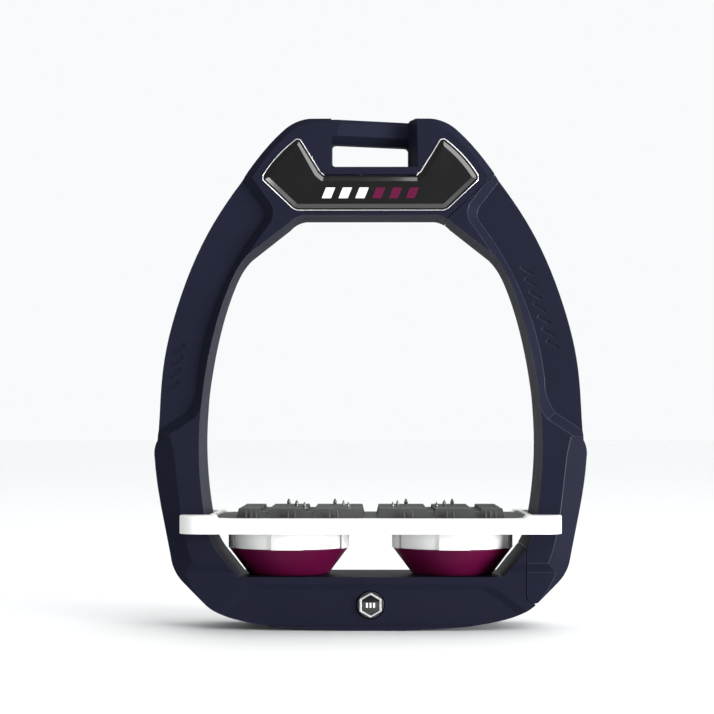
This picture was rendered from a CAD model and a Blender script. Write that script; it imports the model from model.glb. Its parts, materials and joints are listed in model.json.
"""Looks of the safety stirrup: moulded navy frame, badge plates, elastomer cushions, studded tread."""
import json
import math

import bmesh
import bpy
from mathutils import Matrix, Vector


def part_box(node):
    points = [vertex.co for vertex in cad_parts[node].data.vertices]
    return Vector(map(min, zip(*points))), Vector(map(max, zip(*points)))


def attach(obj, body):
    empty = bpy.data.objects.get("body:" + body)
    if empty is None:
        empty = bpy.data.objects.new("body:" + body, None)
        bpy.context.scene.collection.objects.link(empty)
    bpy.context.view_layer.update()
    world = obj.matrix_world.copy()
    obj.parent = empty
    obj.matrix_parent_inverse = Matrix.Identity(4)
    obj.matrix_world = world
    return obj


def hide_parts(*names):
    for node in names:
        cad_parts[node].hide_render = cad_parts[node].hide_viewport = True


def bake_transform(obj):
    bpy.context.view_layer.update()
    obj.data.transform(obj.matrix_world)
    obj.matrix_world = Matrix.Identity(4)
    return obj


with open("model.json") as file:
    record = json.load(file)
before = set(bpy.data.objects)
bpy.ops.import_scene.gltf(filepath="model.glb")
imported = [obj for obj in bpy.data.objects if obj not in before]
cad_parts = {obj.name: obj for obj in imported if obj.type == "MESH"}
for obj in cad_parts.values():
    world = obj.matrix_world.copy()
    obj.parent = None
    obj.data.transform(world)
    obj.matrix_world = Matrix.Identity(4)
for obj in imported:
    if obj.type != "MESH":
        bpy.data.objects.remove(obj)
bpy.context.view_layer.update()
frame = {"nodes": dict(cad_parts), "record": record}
MM = 0.001

SIDES = ("front", "rear")
BODIES = frame["record"]["behaviour"]["bodies"]
BODY_OF = {node: body for body, nodes in BODIES.items() for node in nodes}
SLOT_OF = {part["node"]: part["material_slot"] for part in frame["record"]["subparts"]}

# Rounding of the edges of each moulding.
FRAME_EDGE = 0.45 * MM
TREAD_EDGE = 0.7 * MM
GRIP_EDGE = 0.25 * MM
BUTTON_EDGE = 0.35 * MM
RIM_EDGE = 0.12 * MM
PLATE_EDGE = 0.12 * MM

# Badge plate: flat lip, wide bevel inside it, and how far each of them steps back or up.
PLATE_LIP = 0.5 * MM
PLATE_BEVEL = 1.5 * MM
PLATE_DROP = 0.40 * MM
BEAD_RADIUS = 0.24 * MM
BEAD_PROUD = 0.16 * MM
HEX_DOME = 0.25 * MM

# Cushion: radii in shares of the rim's radius, heights in shares of the cushion's height.
FOOT_SHARE = 0.667
PLUG_SHARE = 0.928
RIM_SHARE = 0.653
SPLIT_SHARE = 0.46

# Stud, from collar to point: (share of its radius, share of its tall part below the tip).
STUD_TALL = 3.0 * MM
STUD_PROFILE = ((1.0, 0.86), (0.80, 0.80), (0.78, 0.66), (0.98, 0.58), (0.86, 0.40), (0.60, 0.20),
                (0.16, 0.02))

# Noise scales of the finishes, in cycles per metre.
CLOUD_SCALE = 45.0
ROUGHNESS_SCALE = 120.0
STAIN_SCALE = 220.0
MACHINING_SCALE = 900.0


# ---- shader helpers -----------------------------------------------------------------
def new_material(name, colour, roughness, metallic=0.0, **sockets):
    """Principled material; sockets are further values set on the shader itself."""
    material = bpy.data.materials.new(name)
    material.use_nodes = True
    shader = material.node_tree.nodes["Principled BSDF"]
    shader.inputs["Base Color"].default_value = (*colour, 1.0)
    shader.inputs["Roughness"].default_value = roughness
    shader.inputs["Metallic"].default_value = metallic
    for socket, value in sockets.items():
        shader.inputs[socket.replace("_", " ")].default_value = value
    return material, material.node_tree, shader


def add(tree, kind, **values):
    """A node with its plain properties and its input values set."""
    node = tree.nodes.new(kind)
    for key, value in values.items():
        if key in node.inputs:
            node.inputs[key].default_value = value
        else:
            setattr(node, key, value)
    return node


def noise(tree, scale, detail=3.0, stretch=(1.0, 1.0, 1.0)):
    """Noise in object space, in cycles per metre."""
    place = add(tree, "ShaderNodeTexCoord")
    mapping = add(tree, "ShaderNodeMapping")
    mapping.inputs["Scale"].default_value = stretch
    texture = add(tree, "ShaderNodeTexNoise", Scale=scale, Detail=detail)
    tree.links.new(place.outputs["Object"], mapping.inputs["Vector"])
    tree.links.new(mapping.outputs["Vector"], texture.inputs["Vector"])
    return texture.outputs["Fac"]


def ramp(tree, source, stops):
    """Colour ramp between two (position, colour) stops."""
    node = add(tree, "ShaderNodeValToRGB")
    for element, (position, colour) in zip(node.color_ramp.elements, stops):
        element.position = position
        element.color = (*colour, 1.0)
    tree.links.new(source, node.inputs["Fac"])
    return node.outputs["Color"]


def span(tree, source, low_value, high_value):
    """Maps 0..1 to low_value..high_value."""
    node = add(tree, "ShaderNodeMapRange")
    node.inputs["To Min"].default_value = low_value
    node.inputs["To Max"].default_value = high_value
    tree.links.new(source, node.inputs["Value"])
    return node.outputs["Result"]


def bump(tree, shader, height, strength, depth):
    node = add(tree, "ShaderNodeBump", Strength=strength, Distance=depth)
    tree.links.new(height, node.inputs["Height"])
    tree.links.new(node.outputs["Normal"], shader.inputs["Normal"])


def mix(tree, factor, first, second):
    node = add(tree, "ShaderNodeMix", data_type="RGBA")
    for socket, value in (("Factor", factor), (6, first), (7, second)):
        target = node.inputs[socket]
        if isinstance(value, tuple):
            target.default_value = (*value, 1.0)
        else:
            tree.links.new(value, target)
    return node.outputs[2]


def moulded(name, dark, light, roughness, grain=None, **sockets):
    """Moulded plastic or rubber, its colour cloudy between dark and light and its roughness uneven.

    grain is the (scale, depth) of its fine grain; polished finishes have none."""
    material, tree, shader = new_material(name, dark, roughness, **sockets)
    colour = ramp(tree, noise(tree, CLOUD_SCALE), [(0.3, dark), (0.75, light)])
    tree.links.new(colour, shader.inputs["Base Color"])
    uneven = span(tree, noise(tree, ROUGHNESS_SCALE), roughness - 0.05, roughness + 0.06)
    tree.links.new(uneven, shader.inputs["Roughness"])
    if grain:
        scale, depth = grain
        bump(tree, shader, noise(tree, scale, 4.0), 0.35, depth)
    return material


def metal(name, colour, roughness, brushed=None):
    """Metal with slight stains, and with machining lines across the axis that brushed stretches."""
    material, tree, shader = new_material(name, colour, roughness, metallic=1.0)
    darker = tuple(channel * 0.78 for channel in colour)
    stains = ramp(tree, noise(tree, STAIN_SCALE), [(0.3, darker), (0.7, colour)])
    tree.links.new(stains, shader.inputs["Base Color"])
    lines = noise(tree, MACHINING_SCALE, 2.0, brushed or (1.0, 1.0, 1.0))
    tree.links.new(span(tree, lines, roughness - 0.04, roughness + 0.08), shader.inputs["Roughness"])
    if brushed:
        bump(tree, shader, lines, 0.05, 0.00001)
    return material


MATERIALS = {
    "navy_composite": moulded("navy_composite", (0.0082, 0.0092, 0.0185), (0.0090, 0.0100, 0.0198), 0.60,
                              (3800.0, 0.00001), Specular_IOR_Level=0.025),
    "navy_edge": moulded("navy_edge", (0.013, 0.015, 0.029), (0.030, 0.033, 0.052), 0.38,
                         (3800.0, 0.00001), Specular_IOR_Level=0.35),
    "black_badge": moulded("black_badge", (0.0050, 0.0050, 0.0054), (0.0060, 0.0060, 0.0064), 0.14,
                           Specular_IOR_Level=0.4, Coat_Weight=1.0, Coat_IOR=1.5, Coat_Roughness=0.05),
    "button_black": moulded("button_black", (0.010, 0.010, 0.011), (0.013, 0.013, 0.014), 0.32,
                            Specular_IOR_Level=0.6),
    "light_inlay": moulded("light_inlay", (0.62, 0.62, 0.62), (0.68, 0.68, 0.68), 0.30),
    "burgundy_inlay": moulded("burgundy_inlay", (0.070, 0.004, 0.024), (0.085, 0.005, 0.030), 0.36,
                              Specular_IOR_Level=0.1),
    "burgundy_elastomer": moulded("burgundy_elastomer", (0.064, 0.0012, 0.022), (0.078, 0.0017, 0.027),
                                  0.46, (2600.0, 0.00002), Specular_IOR_Level=0.12),
    "white_tread": moulded("white_tread", (0.70, 0.70, 0.695), (0.74, 0.74, 0.735), 0.55,
                           (3200.0, 0.000015), Specular_IOR_Level=0.25, Subsurface_Weight=0.2,
                           Subsurface_Radius=(1.0, 1.0, 1.0), Subsurface_Scale=0.004),
    "grey_grip": moulded("grey_grip", (0.036, 0.038, 0.037), (0.054, 0.056, 0.054), 0.72,
                         (5200.0, 0.00012), Specular_IOR_Level=0.15),
    "grip_edge": moulded("grip_edge", (0.045, 0.047, 0.046), (0.095, 0.098, 0.096), 0.60,
                         (5200.0, 0.00006), Specular_IOR_Level=0.25),
    "chrome_trim": metal("chrome_trim", (0.84, 0.84, 0.86), 0.20),
    "stud_steel": metal("stud_steel", (0.17, 0.175, 0.17), 0.26, (1.0, 1.0, 12.0)),
    "steel": metal("steel", (0.50, 0.50, 0.52), 0.28, (1.0, 1.0, 14.0)),
    "magnet": metal("magnet", (0.62, 0.62, 0.64), 0.18),
    "bronze": metal("bronze", (0.55, 0.36, 0.16), 0.38, (1.0, 14.0, 1.0)),
    "brass": metal("brass", (0.62, 0.46, 0.20), 0.30, (1.0, 1.0, 14.0)),
}


# ---- pieces made in place of CAD nodes ----------------------------------------------
def clean_copy(node):
    """The node's own shape as a bmesh, with the triangles of each flat joined up."""
    flat_angle = math.radians(0.6)
    work = bmesh.new()
    work.from_mesh(frame["nodes"][node].data)
    bmesh.ops.remove_doubles(work, verts=work.verts, dist=0.004 * MM)
    bmesh.ops.dissolve_limit(work, angle_limit=flat_angle, verts=work.verts, edges=work.edges)
    return work


def make_piece(name, work, slot, *nodes):
    """Smooth-shaded piece from a bmesh, in the slot's material, standing for the nodes."""
    bmesh.ops.recalc_face_normals(work, faces=work.faces)
    mesh = bpy.data.meshes.new(name)
    work.to_mesh(mesh)
    work.free()
    mesh.shade_smooth()
    mesh.materials.append(MATERIALS[slot])
    piece = bpy.data.objects.new(name, mesh)
    bpy.context.scene.collection.objects.link(piece)
    if nodes:
        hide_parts(*nodes)
    return piece


def round_edges(piece, width, edge_material=None):
    """Rounds the piece's edges; edge_material is the rubbed finish of the strips."""
    edges = piece.modifiers.new("edges", "BEVEL")
    edges.width = width
    edges.segments = 3
    edges.limit_method = "ANGLE"
    edges.angle_limit = math.radians(10.5)      # above the steps of the curved walls
    edges.harden_normals = True
    edges.use_clamp_overlap = True
    normals = piece.modifiers.new("normals", "WEIGHTED_NORMAL")
    normals.weight = 90
    normals.keep_sharp = True
    if edge_material:
        piece.data.materials.append(MATERIALS[edge_material])
        edges.material = 1


def rounded(node, width, edge_material=None):
    """A piece with the node's own shape and its edges rounded by width."""
    piece = make_piece(node + "_moulded", clean_copy(node), SLOT_OF[node], node)
    round_edges(piece, width, edge_material)
    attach(piece, BODY_OF[node])
    return piece


def outward(node):
    """-1 for a node on the front, +1 for one on the rear."""
    low_corner, high_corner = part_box(node)
    return -1.0 if low_corner[1] + high_corner[1] < 0 else 1.0


def plane_y(face, point):
    """Y on the face's plane above the point's X and Z."""
    normal, on_plane = face.normal, face.calc_center_median()
    across, up = point.x - on_plane.x, point.z - on_plane.z
    return on_plane.y - (normal.x * across + normal.z * up) / normal.y


def inset(work, face, width, rise):
    """Insets the face by width and lifts it by rise; a side too short to fit closes up."""
    made = bmesh.ops.inset_region(work, faces=[face], thickness=width, depth=rise, use_even_offset=True)
    flipped = []
    for side in made["faces"]:
        inner = next(edge for edge in side.edges if edge in face.edges)
        matching = [next(e.other_vert(v) for e in v.link_edges if e in side.edges and e != inner)
                    for v in inner.verts]
        along_inner = inner.verts[1].co - inner.verts[0].co
        if along_inner.dot(matching[1].co - matching[0].co) < 0:
            flipped.append(inner)
    if flipped:
        bmesh.ops.collapse(work, edges=flipped)


def plate_outline(node):
    """Corners of the plate's outline on its back, and the same corners on its front plane."""
    source = clean_copy(node)
    way = outward(node)
    back = max((f for f in source.faces if f.normal.y * way < -0.9), key=lambda f: f.calc_area())
    front = max((f for f in source.faces if f.normal.y * way > 0.9), key=lambda f: f.calc_area())
    behind = [v.co.copy() for v in back.verts]
    ahead = [Vector((v.co.x, plane_y(front, v.co), v.co.z)) for v in back.verts]
    source.free()
    return behind, ahead


def bevelled_plate(node):
    """Badge plate with a flat lip and a wide bevel round its face, over the same outline."""
    behind, ahead = plate_outline(node)
    back_shift = Vector((0.0, -outward(node) * PLATE_DROP, 0.0))
    work = bmesh.new()
    base = [work.verts.new(point) for point in behind]
    rim = [work.verts.new(point + back_shift) for point in ahead]
    work.faces.new(base)
    face = work.faces.new(list(reversed(rim)))
    for index in range(len(base)):
        after = (index + 1) % len(base)
        work.faces.new((base[index], rim[index], rim[after], base[after]))
    bmesh.ops.recalc_face_normals(work, faces=work.faces)
    inset(work, face, PLATE_LIP, 0.0)
    inset(work, face, PLATE_BEVEL, PLATE_DROP)
    plate = make_piece(node + "_bevelled", work, SLOT_OF[node], node)
    round_edges(plate, PLATE_EDGE)
    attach(plate, BODY_OF[node])


def trim_bead(node, plate):
    """Round bead of the trim, along the plate's outline and proud of its front plane."""
    ahead = plate_outline(plate)[1]
    way = outward(node)
    low_corner, high_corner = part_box(node)
    plate_low, plate_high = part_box(plate)
    margin = ((high_corner[0] - low_corner[0]) - (plate_high[0] - plate_low[0])) / 4
    count = len(ahead)
    turn = sum((ahead[k].x * ahead[(k + 1) % count].z - ahead[(k + 1) % count].x * ahead[k].z)
               for k in range(count))
    side = 1.0 if turn > 0 else -1.0
    curve = bpy.data.curves.new(node + "_bead", "CURVE")
    curve.dimensions = "3D"
    curve.bevel_depth = BEAD_RADIUS
    curve.bevel_resolution = 4
    line = curve.splines.new("POLY")
    line.points.add(count - 1)
    line.use_cyclic_u = True
    for k in range(count):
        before = (ahead[k] - ahead[k - 1]).normalized()
        after = (ahead[(k + 1) % count] - ahead[k]).normalized()
        outward_before = Vector((before.z, 0.0, -before.x)) * side
        outward_after = Vector((after.z, 0.0, -after.x)) * side
        mitre = (outward_before + outward_after).normalized()
        reach = margin / max(mitre.dot(outward_after), 0.4)
        place = ahead[k] + mitre * reach
        line.points[k].co = (place.x, place.y + way * (BEAD_PROUD - BEAD_RADIUS), place.z, 1.0)
    shape = bpy.data.objects.new(node + "_line", curve)
    bpy.context.scene.collection.objects.link(shape)
    bpy.context.view_layer.update()
    solid = bpy.data.meshes.new_from_object(shape.evaluated_get(bpy.context.evaluated_depsgraph_get()))
    bpy.data.objects.remove(shape)
    work = bmesh.new()
    work.from_mesh(solid)
    bead = make_piece(node + "_bead", work, SLOT_OF[node], node)
    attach(bead, BODY_OF[node])


def domed_hexagon(node):
    """Hexagonal inlay whose face swells towards its middle."""
    rings = 8
    low_corner, high_corner = (Vector(corner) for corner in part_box(node))
    way = outward(node)
    centre = (low_corner + high_corner) / 2
    reach = (high_corner.z - low_corner.z) / 2
    face_y = low_corner.y if way < 0 else high_corner.y
    back_y = high_corner.y if way < 0 else low_corner.y
    work = bmesh.new()

    def ring(scale, y):
        return [work.verts.new((centre.x + reach * scale * math.sin(k * math.pi / 3), y,
                                centre.z + reach * scale * math.cos(k * math.pi / 3))) for k in range(6)]

    rows = [ring(1.0, back_y), ring(1.0, face_y - way * HEX_DOME)]
    for step in range(1, rings):
        scale = math.cos(step / rings * math.pi / 2)
        rows.append(ring(scale, face_y - way * HEX_DOME * scale ** 2))
    for row, following in zip(rows, rows[1:]):
        for k in range(6):
            work.faces.new((row[k], row[(k + 1) % 6], following[(k + 1) % 6], following[k]))
    work.faces.new(rows[0])
    work.faces.new(rows[-1])
    inlay = make_piece(node + "_domed", work, SLOT_OF[node], node)
    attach(inlay, BODY_OF[node])


def lathe(work, centre, profile, steps=96):
    """Surface of revolution about a vertical line: profile is (radius, z) from bottom to top."""
    rows = []
    for radius, z in profile:
        if radius == 0:
            rows.append([work.verts.new((centre[0], centre[1], z))])
            continue
        rows.append([work.verts.new((centre[0] + radius * math.cos(2 * math.pi * k / steps),
                                     centre[1] + radius * math.sin(2 * math.pi * k / steps), z))
                     for k in range(steps)])
    for row, following in zip(rows, rows[1:]):
        for k in range(steps):
            corners = [row[k % len(row)], row[(k + 1) % len(row)],
                       following[(k + 1) % len(following)], following[k % len(following)]]
            work.faces.new(list(dict.fromkeys(corners)))


for name in ("frame_yoke", "outer_arm"):
    rounded(name, FRAME_EDGE, "navy_edge")
rounded("tread_frame", TREAD_EDGE)
rounded("grip_insert", GRIP_EDGE, "grip_edge")
for side in SIDES:
    trim_bead("badge_trim_" + side, "badge_plate_" + side)
    button = rounded("base_button_" + side, BUTTON_EDGE)
    button.data.materials[0] = MATERIALS["button_black"]
    rounded("button_hex_rim_" + side, RIM_EDGE)
    bevelled_plate("badge_plate_" + side)
    domed_hexagon("button_hex_face_" + side)

# Cushions: turned elastomer cones with rolled edges. Each is two pieces that meet where the
# squash between base and tread ends and the tread's tip starts.
for node in ("outer_cushion", "inner_cushion"):
    low_corner, high_corner = (Vector(corner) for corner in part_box(node))
    centre = (low_corner + high_corner) / 2
    foot_z, top_z = low_corner.z, high_corner.z
    rim_r = (high_corner.x - low_corner.x) / 2
    foot_r = FOOT_SHARE * rim_r
    plug_r = PLUG_SHARE * rim_r
    rim_z = foot_z + RIM_SHARE * (top_z - foot_z)
    split_z = foot_z + SPLIT_SHARE * (top_z - foot_z)

    def side_r(z):
        return foot_r + (rim_r - foot_r) * (z - foot_z) / (rim_z - foot_z)

    def run(z_low, z_high, count):
        heights = [z_low + (z_high - z_low) * k / count for k in range(count + 1)]
        return [(side_r(z), z) for z in heights]

    roll = 0.7 * MM
    lip_z = rim_z + 0.15 * MM
    foot = [(0, foot_z), (foot_r - roll, foot_z), (foot_r - 0.1 * MM, foot_z + 0.25 * MM)]
    head = [(rim_r - 0.1 * MM, rim_z), (rim_r - 0.5 * MM, lip_z), (plug_r, lip_z), (plug_r, top_z),
            (0, top_z)]
    lower = bmesh.new()
    lathe(lower, centre, foot + run(foot_z + roll, split_z, 6))
    lower_piece = make_piece(node + "_lower", lower, SLOT_OF[node], node)
    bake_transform(lower_piece)
    upper = bmesh.new()
    lathe(upper, centre, run(split_z, rim_z - 0.4 * MM, 8) + head)
    upper_piece = make_piece(node + "_upper", upper, SLOT_OF[node], node)
    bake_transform(upper_piece)

# Studs: turned pins with a collar, a waist and a point, one for each stud of the CAD node.
stud_source = clean_copy("grip_studs")
tips = {}
for vertex in stud_source.verts:
    key = (round(vertex.co.x / MM), round(vertex.co.y / MM))
    near = next((k for k in tips if abs(k[0] - key[0]) <= 1 and abs(k[1] - key[1]) <= 1), key)
    tips.setdefault(near, []).append(vertex.co.copy())
stud_source.free()
studs = bmesh.new()
for points in tips.values():
    lowest = min(point.z for point in points)
    highest = max(point.z for point in points)
    reach = (max(point.x for point in points) - min(point.x for point in points)) / 2
    place = sum(points, Vector()) / len(points)
    tall = min(highest - lowest, STUD_TALL)
    turned = [(share * reach, highest - down * tall) for share, down in STUD_PROFILE]
    lathe(studs, place, [(0, lowest), (reach, lowest), *turned, (0, highest)], 24)
stud_piece = make_piece("turned_studs", studs, "stud_steel", "grip_studs")
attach(stud_piece, BODY_OF["grip_studs"])

for node, thing in frame["nodes"].items():
    thing.data.materials.clear()
    thing.data.materials.append(MATERIALS[SLOT_OF[node]])

# ---- studio -------------------------------------------------------------------------
FLOOR_REACH = 20.0
floor_mesh = bpy.data.meshes.new("floor")
floor_corners = [(-FLOOR_REACH, -FLOOR_REACH, 0), (FLOOR_REACH, -FLOOR_REACH, 0),
                 (FLOOR_REACH, FLOOR_REACH, 0), (-FLOOR_REACH, FLOOR_REACH, 0)]
floor_mesh.from_pydata(floor_corners, [], [(0, 1, 2, 3)])
floor = bpy.data.objects.new("floor", floor_mesh)
bpy.context.scene.collection.objects.link(floor)
floor_mesh.materials.append(new_material("pale_floor", (0.82, 0.83, 0.83), 0.7)[0])

# The studio is bright behind the stirrup and on its right, and dim in front and on its left.
world = bpy.data.worlds.new("studio")
world.use_nodes = True
sky = world.node_tree
direction = add(sky, "ShaderNodeTexCoord")
facing = add(sky, "ShaderNodeVectorMath", operation="DOT_PRODUCT")
facing.inputs[1].default_value = (0.6, 0.8, 0.0)
sky.links.new(direction.outputs["Generated"], facing.inputs[0])
amount = add(sky, "ShaderNodeMapRange")
amount.inputs["From Min"].default_value = -0.65
amount.inputs["From Max"].default_value = 0.45
sky.links.new(facing.outputs["Value"], amount.inputs["Value"])
glow = mix(sky, amount.outputs["Result"], (0.12, 0.123, 0.126), (0.94, 0.96, 0.965))
sky.links.new(glow, sky.nodes["Background"].inputs["Color"])
sky.nodes["Background"].inputs["Strength"].default_value = 1.0
bpy.context.scene.world = world

middle = Vector((0.0, 0.0, 0.09))


def soft_light(name, place, width, height, power):
    """Soft box turned towards the middle of the stirrup."""
    light = bpy.data.lights.new(name, "AREA")
    light.shape = "RECTANGLE"
    light.size, light.size_y = width, height
    light.energy = power
    lamp = bpy.data.objects.new(name, light)
    lamp.location = place
    lamp.rotation_euler = (middle - Vector(place)).to_track_quat("-Z", "Y").to_euler()
    bpy.context.scene.collection.objects.link(lamp)


soft_light("right_light", (1.20, -0.75, 0.12), 0.7, 0.24, 35.0)
soft_light("high_light", (0.55, -1.2, 0.98), 0.9, 0.9, 11.0)
soft_light("left_light", (-0.85, -1.15, 0.10), 0.6, 0.24, 4.5)
sun = bpy.data.lights.new("even_light", "SUN")
sun.energy = 1.7
sun.angle = math.radians(120.0)
lamp = bpy.data.objects.new("even_light", sun)
lamp.rotation_euler = (math.radians(-28.0), math.radians(24.0), 0.0)
bpy.context.scene.collection.objects.link(lamp)

# ---- camera -------------------------------------------------------------------------
camera = bpy.data.cameras.new("camera")
camera.sensor_width = 36.0
distance, eye_height, aim_height, aim_side = 0.735, 0.0715, 0.1003, -0.00505
seen_width = 0.26775            # width of the picture at the stirrup
camera.lens = camera.sensor_width * distance / seen_width
view = bpy.data.objects.new("camera", camera)
view.location = (0.0, -distance, eye_height)
aim = Vector((aim_side, 0.0, aim_height))
view.rotation_euler = (aim - view.location).to_track_quat("-Z", "Y").to_euler()
bpy.context.scene.collection.objects.link(view)
bpy.context.scene.camera = view
bpy.context.scene.view_settings.view_transform = "Standard"
